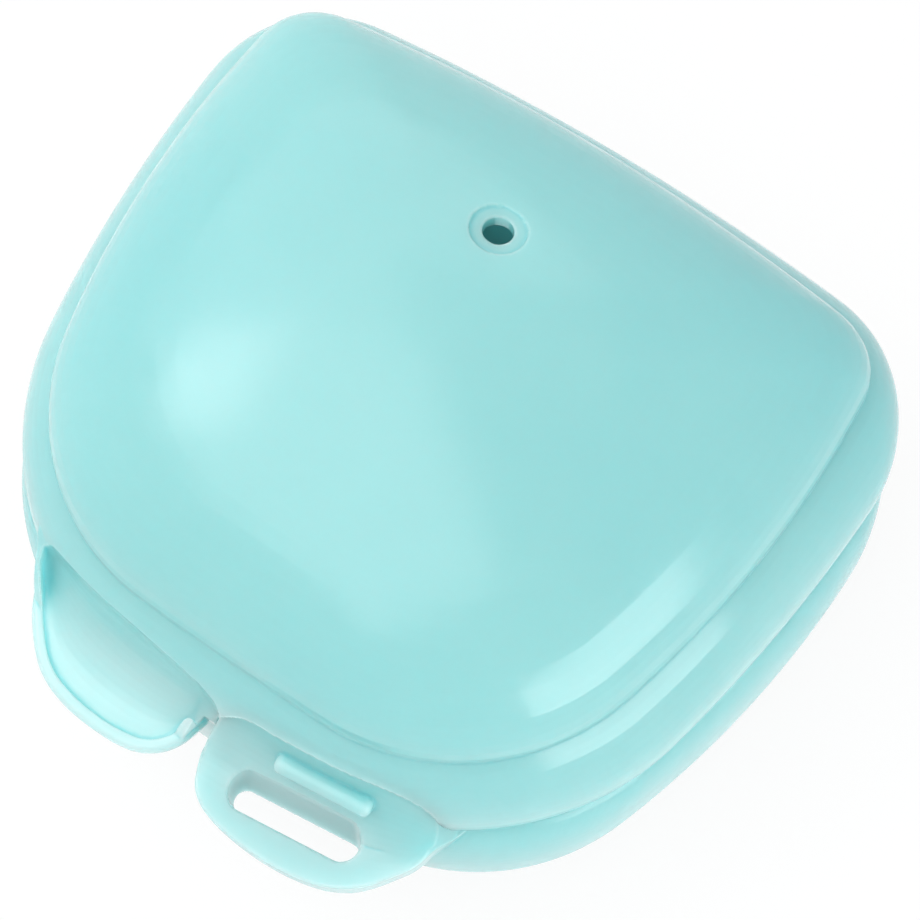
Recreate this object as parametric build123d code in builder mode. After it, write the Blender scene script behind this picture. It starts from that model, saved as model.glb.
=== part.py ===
"""Soother sterilizer case: a shallow tub and a vented domed lid on a moulded pin hinge.

Millimetres, +Z up. The origin is the centre of the flat underside, +Y points at the
hinge and -Y at the finger tab and strap loop. The rims meet at z = base_height.
"""
import os
from math import atan, cos, radians, sin

from build123d import *

os.makedirs("parts", exist_ok=True)

# Plans of the case at its belly, rims, crease and crown, each a rounded trapezium:
# front corner x and y, rear corner x and y, front, side and rear bow, front and rear radius.
belly_plan = (33.8, -39.8, 47.4, 36.7, 0.9, 6.4, 3.1, 27.6, 21.9)
rim_plan = (33.7, -38.4, 45.0, 35.4, 0.9, 3.8, 3.5, 32.0, 17.2)
crease_plan = (28.6, -34.5, 38.4, 30.1, 0.9, 4.6, 3.1, 25.8, 6.8)
crown_plan = (27.0, -33.0, 36.0, 28.5, 3.0, 5.5, 5.0, 26.0, 26.0)

# Heights, walls and gaps.
base_height = 20.0
belly_height = 6.6
foot_inset = 7.0
wall = 2.0
floor_thickness = 2.0
rim_gap = 0.3

# Lid: a rounded rim band up to a crease, and a dome above it.
band_belly_height = 2.5
band_belly = 1.0
crease_height = 15.2
dome_rise = 18.4
dome_squareness = 2.05
dome_ledge = 0.8

# Locating lip on the base, inside the lid.
lip_height = 1.8
lip_wall = 1.2
lip_gap = 0.4
lip_depth = 1.0
slope_angle = 35

# Vent through the dome, in a flat spot.
vent_y = 12.6
vent_diameter = 3.2
vent_spot_diameter = 6.2
vent_spot_depth = 0.9

# Front grips: a tab on the lid at the left, a strap loop on the base at the right.
grip_root_x = 0.8
grip_root_y = -27.0
grip_tip_x = 2.2
grip_inner_radius = 4.0
grip_outer_radius = 13.0
grip_top = 2.5
grip_edge_radius = 0.8
root_inset = 1.0
tab_side_x = 25.4
tab_tip_y = -48.0
loop_side_x = 26.3
loop_tip_y = -49.0
loop_depth = 3.5

# Finger scoop of each grip: a cylinder lying across it, cut into the grip and the rim band.
scoop_radius = 6.5
scoop_x = 13.5
scoop_y = -44.5
scoop_height = 8.2
scoop_length = 28.0
scoop_angle = 7.5
scoop_top = 9.0

# Arched cut-out in the lid above the loop, filled by a tongue on the base.
arch_height = 11.0
arch_crest_x = 11.0
arch_inner_x = 0.3
arch_inner_drop = 2.2
arch_inner_radius = 2.0
arch_crest_radius = 20.0
arch_outer_x = 27.8
arch_outer_slope = 5.0
arch_outer_drop = 1.2
arch_outer_radius = 8.0
arch_foot_radius = 4.0

# Strap slot through the loop, and the catch rib above it.
slot_x = 12.4
slot_y = -42.9
slot_length = 14.8
slot_mouth = 5.0
slot_throat_length = 13.4
slot_throat = 2.7
slot_throat_shift = -1.1
slot_angle = 6.5
rib_x = 13.8
rib_y = -38.9
rib_height = 5.5
rib_length = 12.6
rib_radius = 1.1
rib_angle = 7.0

# Drain ribs on the floor of the base.
drain_rib_height = 6.5
drain_rib_width = 1.6
drain_rib_pitch = 13.0
drain_rib_count = 4
drain_rib_length = 40.0

# Hinge: knuckles of base and lid by turns on one pin, in a pocket in the rear wall.
hinge_drop = 4.6
hinge_behind = 1.1
knuckle_radius = 2.3
knuckle_width = 8.4
knuckle_gap = 0.3
base_knuckles = 3
lid_knuckles = 2
pin_radius = 1.1
pin_running = 0.06
pocket_gap = 0.6
arm_thickness = 2.0
arm_seat = 1.7

rear_y = rim_plan[3] + rim_plan[6]
crease_rear_y = crease_plan[3] + crease_plan[6]
lid_base = base_height + rim_gap
crease_z = base_height + crease_height
dome_top = crease_z + dome_rise
lip_outer = wall + lip_gap
lip_inner = lip_outer + lip_wall
lip_foot = base_height - lip_depth
slope_top = base_height - lip_height
hinge_y = rear_y + hinge_behind
hinge_z = base_height - hinge_drop
knuckle_pitch = knuckle_width + knuckle_gap
knuckle_total = base_knuckles + lid_knuckles
hinge_length = knuckle_total * knuckle_pitch - knuckle_gap
pocket_radius = knuckle_radius + pocket_gap
pocket_y = hinge_y - pocket_radius
pocket_width = knuckle_width + 2 * knuckle_gap
vent_level = (1 - (vent_y / crease_rear_y) ** dome_squareness) ** (1 / dome_squareness)
vent_floor = crease_z + dome_rise * vent_level - vent_spot_depth
far = 3 * rear_y

# The rim band is an arc in section that leans in from its belly to the crease.
band_rise = crease_height - band_belly_height
band_inset = rear_y - crease_rear_y + band_belly
band_lean = 2 * atan(band_inset / band_rise)


def blend(first, second, share):
    """A plan between two plans."""
    return [a + share * (b - a) for a, b in zip(first, second)]


def case_section(height, plan, outset=0.0, share=1.0):
    """One level of the case: a plan grown by outset, then scaled by share."""
    front_x, front_y, rear_x, rear_y, front_bow, side_bow, rear_bow, front_radius, rear_radius = plan
    with BuildSketch(Plane.XY.offset(height)) as section:
        with BuildLine():
            SagittaArc((-front_x, front_y), (front_x, front_y), -front_bow)
            SagittaArc((front_x, front_y), (rear_x, rear_y), -side_bow)
            SagittaArc((rear_x, rear_y), (-rear_x, rear_y), -rear_bow)
            SagittaArc((-rear_x, rear_y), (-front_x, front_y), -side_bow)
        make_face()
        if outset:
            offset(amount=outset, kind=Kind.INTERSECTION)
        fillet(section.vertices().group_by(Axis.Y)[0], front_radius + outset)
        fillet(section.vertices().group_by(Axis.Y)[-1], rear_radius + outset)
        if share != 1.0:
            scale(by=share)
    return section.sketch


def bowl_levels(bottom, inset):
    """The base wall from the bottom to its belly, a quarter ellipse, as sections."""
    levels = []
    for angle in (0, 30, 60, 90):
        height = bottom + (belly_height - bottom) * (1 - cos(radians(angle)))
        levels.append(case_section(height, belly_plan, -inset - foot_inset * (1 - sin(radians(angle)))))
    return levels


def rim_level(inset, angle):
    """One section of the base wall between its belly, at angle 0, and the rim, at 90."""
    height = belly_height + (base_height - belly_height) * sin(radians(angle))
    return case_section(height, blend(rim_plan, belly_plan, cos(radians(angle))), -inset)


def band_levels(bottom, thickness):
    """The lid's rim band, a thickness in from its outer face, up to the crease."""
    levels = [case_section(bottom, rim_plan, -thickness)]
    for share in (0, 0.4, 0.75, 1):
        lean = share * band_lean
        lift = sin(lean) / sin(band_lean)
        toward_crease = (1 - cos(lean)) / (1 - cos(band_lean))
        height = base_height + band_belly_height + band_rise * lift - thickness * sin(lean)
        outset = band_belly * (1 - toward_crease) - thickness * cos(lean)
        levels.append(case_section(height, blend(rim_plan, crease_plan, toward_crease), outset))
    return levels


def dome_levels(bottom, rise, outset):
    """The dome, a squared-off quarter ellipse, as ever smaller and rounder plans."""
    power = 2 / dome_squareness
    levels = []
    for angle in (0, 16, 33, 50, 66, 78, 86):
        height = bottom + rise * sin(radians(angle)) ** power
        share = cos(radians(angle)) ** power
        levels.append(case_section(height, blend(crown_plan, crease_plan, share), outset, share))
    return levels


def grip_sketch(side, side_x, tip_y, inset=0.0):
    """Plan of a front grip on one side of the centre line: side is 1 or -1."""
    root_x = side * (grip_root_x + inset)
    tip_x = side * (grip_tip_x + inset)
    side_x = side * (side_x - inset)
    with BuildSketch() as grip:
        with BuildLine():
            FilletPolyline(
                (root_x, grip_root_y),
                (tip_x, tip_y),
                (side_x, tip_y),
                (side_x, grip_root_y),
                radius=(grip_inner_radius, grip_outer_radius),
            )
            Line((root_x, grip_root_y), (side_x, grip_root_y))
        make_face()
    return grip.sketch


def front_grip(side, side_x, tip_y, bottom):
    """A grip with rounded edges, raised behind the deepest line of the scoop."""
    with BuildPart() as grip:
        with BuildSketch(Plane.XY.offset(bottom)):
            add(grip_sketch(side, side_x, tip_y))
        extrude(amount=base_height + grip_top - bottom)
        fillet(grip.faces().filter_by(Axis.Z).edges(), grip_edge_radius)
        with BuildSketch(Plane.XY.offset(base_height + grip_top / 2)):
            add(grip_sketch(side, side_x, tip_y, root_inset))
            with Locations(Location((side * scoop_x, scoop_y), side * scoop_angle)):
                Rectangle(far, far, align=(Align.CENTER, Align.MIN), mode=Mode.INTERSECT)
        extrude(amount=scoop_top - grip_top / 2)
    return grip.part


def finger_scoop(side, growth=0.0):
    """The cylinder that hollows one grip and the rim band behind it."""
    place = Location((side * scoop_x, scoop_y, base_height + scoop_height), (0, 0, side * scoop_angle))
    with BuildPart() as scoop:
        with Locations(place):
            Cylinder(scoop_radius + growth, scoop_length + 2 * growth, rotation=(0, 90, 0))
    return scoop.part


def arch_sketch(gap):
    """The lid's arched cut-out seen from the front, made smaller by a gap."""
    top = base_height + arch_height - gap
    inner = arch_inner_x + gap
    outer = arch_outer_x - gap
    with BuildSketch(Plane.XZ.offset(-grip_root_y)) as arch:
        with BuildLine():
            FilletPolyline(
                (inner, 0),
                (inner, top - arch_inner_drop),
                (arch_crest_x, top),
                (outer - arch_outer_slope, top - arch_outer_drop),
                (outer, base_height),
                (outer, 0),
                radius=(arch_inner_radius, arch_crest_radius, arch_outer_radius, arch_foot_radius),
            )
            Line((outer, 0), (inner, 0))
        make_face()
    return arch.sketch


def along_hinge(radius, length, count=1):
    """Solid cylinders on the hinge axis, as far apart as one shell's knuckles."""
    with BuildPart() as cylinders:
        with Locations((0, hinge_y, hinge_z)):
            with GridLocations(2 * knuckle_pitch, 0, count, 1):
                Cylinder(radius, length, rotation=(0, 90, 0))
    return cylinders.part


# Space inside the lid, less a full wall behind the finger scoops.
inner_crease_z = crease_z - wall * sin(band_lean)
with BuildPart() as lid_hollow:
    loft(sections=band_levels(base_height, wall))
    loft(
        sections=dome_levels(
            inner_crease_z,
            dome_top - wall - inner_crease_z,
            -wall * cos(band_lean) - dome_ledge,
        )
    )
    add(finger_scoop(1, wall), mode=Mode.SUBTRACT)
    add(finger_scoop(-1, wall), mode=Mode.SUBTRACT)

# Space inside the base: a bowl, a slope under the lip and the mouth.
with BuildPart() as base_hollow:
    loft(sections=bowl_levels(floor_thickness, wall) + [rim_level(wall, slope_angle)])
    loft(sections=[rim_level(wall, slope_angle), case_section(slope_top, rim_plan, -lip_inner)])
    extrude(case_section(slope_top, rim_plan, -lip_inner), amount=3 * lip_height)

# The tongue fills the lid's arched cut-out and carries the upper half of the strap loop.
with BuildPart() as tongue:
    loft(sections=band_levels(lip_foot, 0))
    add(front_grip(1, loop_side_x, loop_tip_y, base_height - loop_depth))
    add(finger_scoop(1), mode=Mode.SUBTRACT)
    extrude(arch_sketch(rim_gap), amount=far, mode=Mode.INTERSECT)
    add(lid_hollow.part, mode=Mode.SUBTRACT)

with BuildPart() as tongue_foot:
    with BuildSketch(Plane.XY.offset(lip_foot)):
        add(case_section(0, rim_plan))
        add(case_section(0, rim_plan, -lip_inner), mode=Mode.SUBTRACT)
    extrude(amount=lip_depth + lip_height)
    extrude(arch_sketch(rim_gap), amount=far, mode=Mode.INTERSECT)

with BuildPart() as loop_root:
    add(front_grip(1, loop_side_x, loop_tip_y, base_height - loop_depth))
    with Locations((0, 0, base_height)):
        Box(far, far, far, align=(Align.CENTER, Align.CENTER, Align.MIN), mode=Mode.SUBTRACT)

# The strap slot narrows downwards.
with BuildPart() as slot_cut:
    with BuildSketch(Plane(Location((slot_x, slot_y, base_height + grip_top), (0, 0, slot_angle)))):
        SlotOverall(slot_length, slot_mouth)
    throat_y = slot_y + slot_throat_shift
    with BuildSketch(Plane(Location((slot_x, throat_y, base_height - loop_depth), (0, 0, slot_angle)))):
        SlotOverall(slot_throat_length, slot_throat)
    loft()

with BuildPart() as catch_rib:
    with Locations(Location((rib_x, rib_y, base_height + rib_height), (0, 0, rib_angle))):
        Cylinder(rib_radius, rib_length - 2 * rib_radius, rotation=(0, 90, 0))
        with GridLocations(rib_length - 2 * rib_radius, 0, 2, 1):
            Sphere(rib_radius)

# Room for the lid's knuckles and arms in the base's rear wall.
with BuildPart() as pocket:
    add(along_hinge(pocket_radius, pocket_width, lid_knuckles))
    with Locations((0, pocket_y, hinge_z)):
        with GridLocations(2 * knuckle_pitch, 0, lid_knuckles, 1):
            Box(pocket_width, far, far, align=(Align.CENTER, Align.MIN, Align.MIN))

# Boss inside the rear wall, around the pocket.
with BuildPart() as boss:
    with BuildSketch(Plane.YZ):
        with Locations((hinge_y, hinge_z)):
            Circle(pocket_radius + wall)
        with Locations((pocket_y - wall, hinge_z)):
            Rectangle(pocket_radius + wall, hinge_drop, align=(Align.MIN, Align.MIN))
        with Locations((rear_y, 0)):
            Rectangle(far, far, align=(Align.MIN, Align.CENTER), mode=Mode.SUBTRACT)
    extrude(amount=hinge_length / 2 + wall, both=True)

# Base shell: tub, locating lip, strap loop, tongue, boss and hinge knuckles.
with BuildPart() as base_shell:
    loft(sections=bowl_levels(0, 0) + [rim_level(0, angle) for angle in (30, 60, 90)])
    with BuildSketch(Plane.XY.offset(lip_foot)):
        add(case_section(0, rim_plan, -lip_outer))
    extrude(amount=lip_depth + lip_height)
    add(loop_root.part)
    add(tongue_foot.part)
    add(base_hollow.part, mode=Mode.SUBTRACT)
    add(tongue.part)
    add(catch_rib.part)
    add(slot_cut.part, mode=Mode.SUBTRACT)
    add(boss.part)
    add(along_hinge(knuckle_radius, knuckle_width, base_knuckles))
    add(pocket.part, mode=Mode.SUBTRACT)
    add(along_hinge(pin_radius, hinge_length), mode=Mode.SUBTRACT)
    with Locations((0, 0, floor_thickness)):
        with GridLocations(drain_rib_pitch, 0, drain_rib_count, 1):
            Box(
                drain_rib_width,
                drain_rib_length,
                drain_rib_height,
                align=(Align.CENTER, Align.CENTER, Align.MIN),
            )

# Lid shell: rim band, dome, vent, tab and hinge knuckles on arms.
with BuildPart() as lid_shell:
    loft(sections=band_levels(lid_base, 0))
    loft(sections=dome_levels(crease_z, dome_rise, 0))
    add(front_grip(-1, tab_side_x, tab_tip_y, lid_base))
    add(finger_scoop(-1), mode=Mode.SUBTRACT)
    add(lid_hollow.part, mode=Mode.SUBTRACT)
    extrude(arch_sketch(0), amount=far, mode=Mode.SUBTRACT)
    with Locations((0, vent_y, vent_floor)):
        Cylinder(
            vent_spot_diameter / 2,
            dome_rise,
            align=(Align.CENTER, Align.CENTER, Align.MIN),
            mode=Mode.SUBTRACT,
        )
        Cylinder(vent_diameter / 2, dome_rise, mode=Mode.SUBTRACT)
    with Locations((0, hinge_y - knuckle_radius, hinge_z)):
        with GridLocations(2 * knuckle_pitch, 0, lid_knuckles, 1):
            Box(
                knuckle_width,
                arm_thickness,
                hinge_drop + rim_gap + arm_seat,
                align=(Align.CENTER, Align.MIN, Align.MIN),
            )
    add(along_hinge(knuckle_radius, knuckle_width, lid_knuckles))
    add(along_hinge(pin_radius + pin_running, hinge_length), mode=Mode.SUBTRACT)

# Hinge pin, held by the base's knuckles.
with BuildPart() as hinge_pin:
    add(along_hinge(pin_radius, hinge_length))

base_shell.part.label = "base_shell"
export_step(base_shell.part, "parts/base_shell.step")
lid_shell.part.label = "lid_shell"
export_step(lid_shell.part, "parts/lid_shell.step")
hinge_pin.part.label = "hinge_pin"
export_step(hinge_pin.part, "parts/hinge_pin.step")
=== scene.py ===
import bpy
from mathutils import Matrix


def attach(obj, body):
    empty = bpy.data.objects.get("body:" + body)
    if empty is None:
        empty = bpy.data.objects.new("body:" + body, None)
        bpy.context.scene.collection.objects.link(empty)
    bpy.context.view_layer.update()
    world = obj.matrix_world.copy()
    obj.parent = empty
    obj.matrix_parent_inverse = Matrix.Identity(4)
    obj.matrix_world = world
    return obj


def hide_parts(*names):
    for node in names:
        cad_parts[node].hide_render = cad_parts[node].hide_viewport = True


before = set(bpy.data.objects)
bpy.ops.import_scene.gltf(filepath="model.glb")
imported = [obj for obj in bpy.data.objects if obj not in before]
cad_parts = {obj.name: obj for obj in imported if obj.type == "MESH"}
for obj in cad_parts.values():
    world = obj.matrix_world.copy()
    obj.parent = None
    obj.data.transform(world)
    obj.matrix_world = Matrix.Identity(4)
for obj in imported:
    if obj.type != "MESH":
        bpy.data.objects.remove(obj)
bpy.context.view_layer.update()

import math

import bmesh
import bpy
import numpy as np
from mathutils import Vector

mm = 0.001

# front corner x and y, rear corner x and y, front, side and rear bow, front and rear radius
plans = {
    "belly": (33.8, -39.8, 47.4, 36.7, 0.9, 6.4, 3.1, 27.6, 21.9),
    "rim": (33.7, -38.4, 45.0, 35.4, 0.9, 3.8, 3.5, 32.0, 17.2),
    "crease": (28.6, -34.5, 38.4, 30.1, 0.9, 4.6, 3.1, 25.8, 6.8),
    "crown": (27.0, -33.0, 36.0, 28.5, 3.0, 5.5, 5.0, 26.0, 26.0),
}
# points along the front, front corner, side, rear corner and rear of each loop
loopCounts = {"front": 20, "frontCorner": 34, "side": 36, "rearCorner": 24, "rear": 48}


def deselectAll():
    bpy.ops.object.select_all(action="DESELECT")


def activate(piece):
    deselectAll()
    piece.select_set(True)
    bpy.context.view_layer.objects.active = piece


def applyModifier(piece, kind, **settings):
    activate(piece)
    modifier = piece.modifiers.new(kind.title(), kind)
    for name, value in settings.items():
        setattr(modifier, name, value)
    bpy.ops.object.modifier_apply(modifier=modifier.name)


def volumeOf(piece):
    mesh = bmesh.new()
    mesh.from_mesh(piece.data)
    volume = mesh.calc_volume(signed=True)
    openEdges = sum(not edge.is_manifold for edge in mesh.edges)
    mesh.free()
    return volume, openEdges


cutForm = {"tries": 6, "step": (0.009, 0.006, -0.007), "weld": 0.003, "slack": 1e-4, "newlyOpen": 8}


# surfaces that nearly touch can spoil a cut, so it is tried again with the cutter a few microns aside
def boolean(piece, other, operation):
    before, openBefore = volumeOf(piece)
    tool = volumeOf(other)[0]
    low, high = {"UNION": (max(before, tool), before + tool), "DIFFERENCE": (before - tool, before),
                 "INTERSECT": (0, min(before, tool))}[operation]
    slack = cutForm["slack"] * before
    start = piece.data.copy()
    best, leastOpen = start, float("inf")
    for attempt in range(cutForm["tries"]):
        other.location = Vector(cutForm["step"]) * attempt * mm
        applyModifier(piece, "BOOLEAN", object=other, operation=operation, solver="EXACT")
        bpy.ops.object.mode_set(mode="EDIT")
        bpy.ops.mesh.select_all(action="SELECT")
        bpy.ops.mesh.remove_doubles(threshold=cutForm["weld"] * mm)
        bpy.ops.object.mode_set(mode="OBJECT")
        after, openEdges = volumeOf(piece)
        sound = low - slack <= after <= high + slack
        if sound and openEdges <= openBefore + cutForm["newlyOpen"]:
            break
        if sound and openEdges < leastOpen:
            best, leastOpen = piece.data.copy(), openEdges
        print("cut again:", piece.name, operation, other.name)
        piece.data = start.copy()
    else:
        # the cleanest of the tries is kept, or the piece as it was
        piece.data = best
        print("cut kept with open edges:", piece.name, operation, other.name, leastOpen)
    bpy.data.objects.remove(other)


def joinPieces(piece, others):
    activate(piece)
    for other in others:
        other.select_set(True)
    bpy.ops.object.join()
    return piece


def bakePlace(piece):
    activate(piece)
    bpy.ops.object.transform_apply(location=True, rotation=True, scale=True)
    return piece


def blendPlans(first, second, share):
    return [a + share * (b - a) for a, b in zip(plans[first], plans[second])]


def sideArc(start, end, bow):
    chord = end - start
    length = np.hypot(*chord)
    outward = np.array([chord[1], -chord[0]]) / length
    radius = (length * length / 4 + bow * bow) / (2 * bow)
    return (start + end) / 2 - outward * (radius - bow), radius


def filletCentre(first, second, fillet, near):
    (firstCentre, firstRadius), (secondCentre, secondRadius) = first, second
    firstRadius, secondRadius = firstRadius - fillet, secondRadius - fillet
    span = secondCentre - firstCentre
    distance = np.hypot(*span)
    along = (firstRadius ** 2 - secondRadius ** 2 + distance ** 2) / (2 * distance)
    aside = math.sqrt(max(firstRadius ** 2 - along ** 2, 0))
    foot = firstCentre + span * along / distance
    normal = np.array([-span[1], span[0]]) / distance
    options = [foot + normal * aside, foot - normal * aside]
    return min(options, key=lambda point: np.hypot(*(point - near)))


def arcPoints(centre, radius, start, end, count, phase):
    first = math.atan2(*(start - centre)[::-1])
    last = math.atan2(*(end - centre)[::-1])
    while last < first:
        last += 2 * math.pi
    angles = first + (last - first) * (np.arange(count) + phase) / count
    return centre + radius * np.stack([np.cos(angles), np.sin(angles)], -1)


# one level of the case, in mm: a bowed trapezium with round corners, grown by outset
# phase shifts the points along it, so that the edges of two pieces don't run into each other
def caseLoop(plan, height, outset=0.0, share=1.0, phase=0.0):
    frontX, frontY, rearX, rearY, frontBow, sideBow, rearBow, frontRadius, rearRadius = plan
    corners = [np.array(c) for c in ((-frontX, frontY), (frontX, frontY), (rearX, rearY), (-rearX, rearY))]
    bows = (frontBow, sideBow, rearBow, sideBow)
    sides = [sideArc(corners[i], corners[(i + 1) % 4], bows[i]) for i in range(4)]
    radii = (frontRadius, frontRadius, rearRadius, rearRadius)
    fillets = [filletCentre(sides[i - 1], sides[i], radii[i], corners[i]) for i in range(4)]
    sideNames = ("front", "side", "rear", "side")
    cornerNames = ("frontCorner", "frontCorner", "rearCorner", "rearCorner")
    points = []
    for i in range(4):
        centre, radius = sides[i]
        here, there = fillets[i], fillets[(i + 1) % 4]
        nextCentre = sides[(i + 1) % 4][0]
        points.append(arcPoints(centre, radius + outset, here, there, loopCounts[sideNames[i]], phase))
        corner = (i + 1) % 4
        start = there + (there - centre)
        end = there + (there - nextCentre)
        count = loopCounts[cornerNames[corner]]
        points.append(arcPoints(there, radii[corner] + outset, start, end, count, phase))
    flat = np.concatenate(points) * share
    return [(x, y, height) for x, y in flat]


# a loop is drawn, then extruded and placed level by level
def extrudeLoops(name, loops):
    deselectAll()
    bpy.ops.mesh.primitive_circle_add(vertices=len(loops[0]), radius=mm, fill_type="NGON")
    piece = bpy.context.active_object
    piece.name = name
    bpy.ops.object.mode_set(mode="EDIT")
    mesh = bmesh.from_edit_mesh(piece.data)
    station = mesh.verts.layers.int.new("station")
    for index, vert in enumerate(mesh.verts):
        vert[station] = index
    for number, loop in enumerate(loops):
        if number:
            bpy.ops.mesh.extrude_region_move()
        mesh = bmesh.from_edit_mesh(piece.data)
        station = mesh.verts.layers.int["station"]
        for vert in mesh.verts:
            if vert.select:
                vert.co = Vector(loop[vert[station]]) * mm
        bmesh.update_edit_mesh(piece.data)
    bpy.ops.mesh.select_all(action="SELECT")
    bpy.ops.mesh.normals_make_consistent(inside=False)
    bpy.ops.object.mode_set(mode="OBJECT")
    piece.data.attributes.remove(piece.data.attributes["station"])
    return piece


def smoothLine(points, perSpan, closed=True):
    count = len(points)
    spans = count if closed else count - 1
    line = []
    for i in range(spans):
        places = [(i + k) % count if closed else min(max(i + k, 0), count - 1) for k in (-1, 0, 1, 2)]
        near = [np.array(points[place]) for place in places]
        for step in range(perSpan):
            t = step / perSpan
            line.append(0.5 * (2 * near[1] + (near[2] - near[0]) * t
                               + (2 * near[0] - 5 * near[1] + 4 * near[2] - near[3]) * t * t
                               + (3 * near[1] - near[0] - 3 * near[2] + near[3]) * t ** 3))
    return line


def cylinderAt(name, radius, length, place, turn, vertices=96):
    deselectAll()
    bpy.ops.mesh.primitive_cylinder_add(
        vertices=vertices, radius=radius * mm, depth=length * mm,
        location=[value * mm for value in place], rotation=turn)
    piece = bpy.context.active_object
    piece.name = name
    return bakePlace(piece)


def boxAt(name, low, high):
    deselectAll()
    bpy.ops.mesh.primitive_cube_add(size=1, location=[(a + b) / 2 * mm for a, b in zip(low, high)])
    piece = bpy.context.active_object
    piece.name = name
    piece.scale = [(b - a) * mm for a, b in zip(low, high)]
    return bakePlace(piece)


shellForm = {
    "rimHeight": 20.0, "bellyHeight": 6.6, "footInset": 7.0, "wall": 2.0, "floor": 2.0,
    "rimGap": 0.3, "bandBellyHeight": 2.5, "bandBelly": 1.0, "creaseHeight": 15.2,
    "domeRise": 18.4, "domeSquareness": 2.05, "domeLedge": 0.8,
    "rimEdge": 1.3, "hollowDepth": 4, "lipHeight": 1.8, "lipWall": 1.2, "lipGap": 0.4, "lipChamfer": 0.4,
    "lipFoot": 1.0, "slopeAngle": 35,
    "depth": 9, "softening": 5, "triangles": 190000,
}
bandRise = shellForm["creaseHeight"] - shellForm["bandBellyHeight"]
rearY, rearReach = [plans[name][3] + plans[name][6] for name in ("rim", "crease")]
bandInset = rearY - rearReach + shellForm["bandBelly"]
bandLean = 2 * math.atan(bandInset / bandRise)
creaseZ = shellForm["rimHeight"] + shellForm["creaseHeight"]
domeTop = creaseZ + shellForm["domeRise"]


def bandLoops(shares, thickness, phase=0.0):
    loops = []
    for share in shares:
        lean = share * bandLean
        toward = (1 - math.cos(lean)) / (1 - math.cos(bandLean))
        height = (shellForm["rimHeight"] + shellForm["bandBellyHeight"]
                  + bandRise * math.sin(lean) / math.sin(bandLean) - thickness * math.sin(lean))
        outset = shellForm["bandBelly"] * (1 - toward) - thickness * math.cos(lean)
        loops.append(caseLoop(blendPlans("rim", "crease", toward), height, outset, 1.0, phase))
    return loops


def domeLoops(angles, bottom, rise, outset):
    power = 2 / shellForm["domeSquareness"]
    loops = []
    for angle in angles:
        share = math.cos(math.radians(angle)) ** power
        height = bottom + rise * math.sin(math.radians(angle)) ** power
        loops.append(caseLoop(blendPlans("crown", "crease", share), height, outset, share))
    return loops


def edgeLoops(plan, centre, radii, angles):
    (outset, height), (wide, tall) = centre, radii
    turns = [math.radians(angle) for angle in angles]
    return [caseLoop(plan, height + tall * math.sin(a), outset + wide * math.cos(a)) for a in turns]


def lidLoops():
    rim = shellForm["rimHeight"]
    bottom = rim + shellForm["rimGap"]
    drop = rim + shellForm["bandBellyHeight"] - bottom
    loops = domeLoops([86] + list(range(84, 1, -4)) + [0], creaseZ, shellForm["domeRise"], 0)
    loops += bandLoops([1 - i / 10 for i in range(1, 11)], 0)
    edge = shellForm["rimEdge"]
    centre = (shellForm["bandBelly"] - edge, bottom + drop)
    loops += edgeLoops(plans["rim"], centre, (edge, drop), range(-12, -91, -13))
    return loops


def lidHollowLoops(wall):
    innerCrease = creaseZ - wall * math.sin(bandLean)
    rim = shellForm["rimHeight"]
    loops = [caseLoop(plans["rim"], height, -wall) for height in (rim - shellForm["hollowDepth"], rim)]
    loops += bandLoops([i / 8 for i in range(9)], wall)
    loops += domeLoops([0] + list(range(4, 85, 4)) + [86], innerCrease, domeTop - wall - innerCrease,
                       -wall * math.cos(bandLean) - shellForm["domeLedge"])
    return loops


def baseWallLoop(angle, inset):
    belly, rim = shellForm["bellyHeight"], shellForm["rimHeight"]
    height = belly + (rim - belly) * math.sin(math.radians(angle))
    return caseLoop(blendPlans("rim", "belly", math.cos(math.radians(angle))), height, -inset)


def bowlLoop(angle, bottom, inset):
    height = bottom + (shellForm["bellyHeight"] - bottom) * (1 - math.cos(math.radians(angle)))
    foot = shellForm["footInset"] * (1 - math.sin(math.radians(angle)))
    return caseLoop(plans["belly"], height, -inset - foot)


def baseLoops():
    wall, rim = shellForm["wall"], shellForm["rimHeight"]
    lipOuter = wall + shellForm["lipGap"]
    lipInner = lipOuter + shellForm["lipWall"]
    lipTop, chamfer = rim + shellForm["lipHeight"], shellForm["lipChamfer"]
    loops = [bowlLoop(angle, 0, 0) for angle in range(0, 90, 6)]
    loops += [baseWallLoop(angle, 0) for angle in list(range(0, 80, 6)) + [80, 84, 87, 90]]
    loops.append(caseLoop(plans["rim"], rim, -lipOuter))
    loops.append(caseLoop(plans["rim"], lipTop - chamfer, -lipOuter))
    loops.append(caseLoop(plans["rim"], lipTop, -lipOuter - chamfer))
    loops.append(caseLoop(plans["rim"], lipTop, -lipInner + chamfer))
    loops.append(caseLoop(plans["rim"], lipTop - chamfer, -lipInner))
    loops.append(caseLoop(plans["rim"], rim - shellForm["lipHeight"], -lipInner))
    loops += [baseWallLoop(angle, wall) for angle in range(shellForm["slopeAngle"], -1, -7)]
    loops += [bowlLoop(angle, shellForm["floor"], wall) for angle in range(84, -1, -6)]
    return loops


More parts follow.
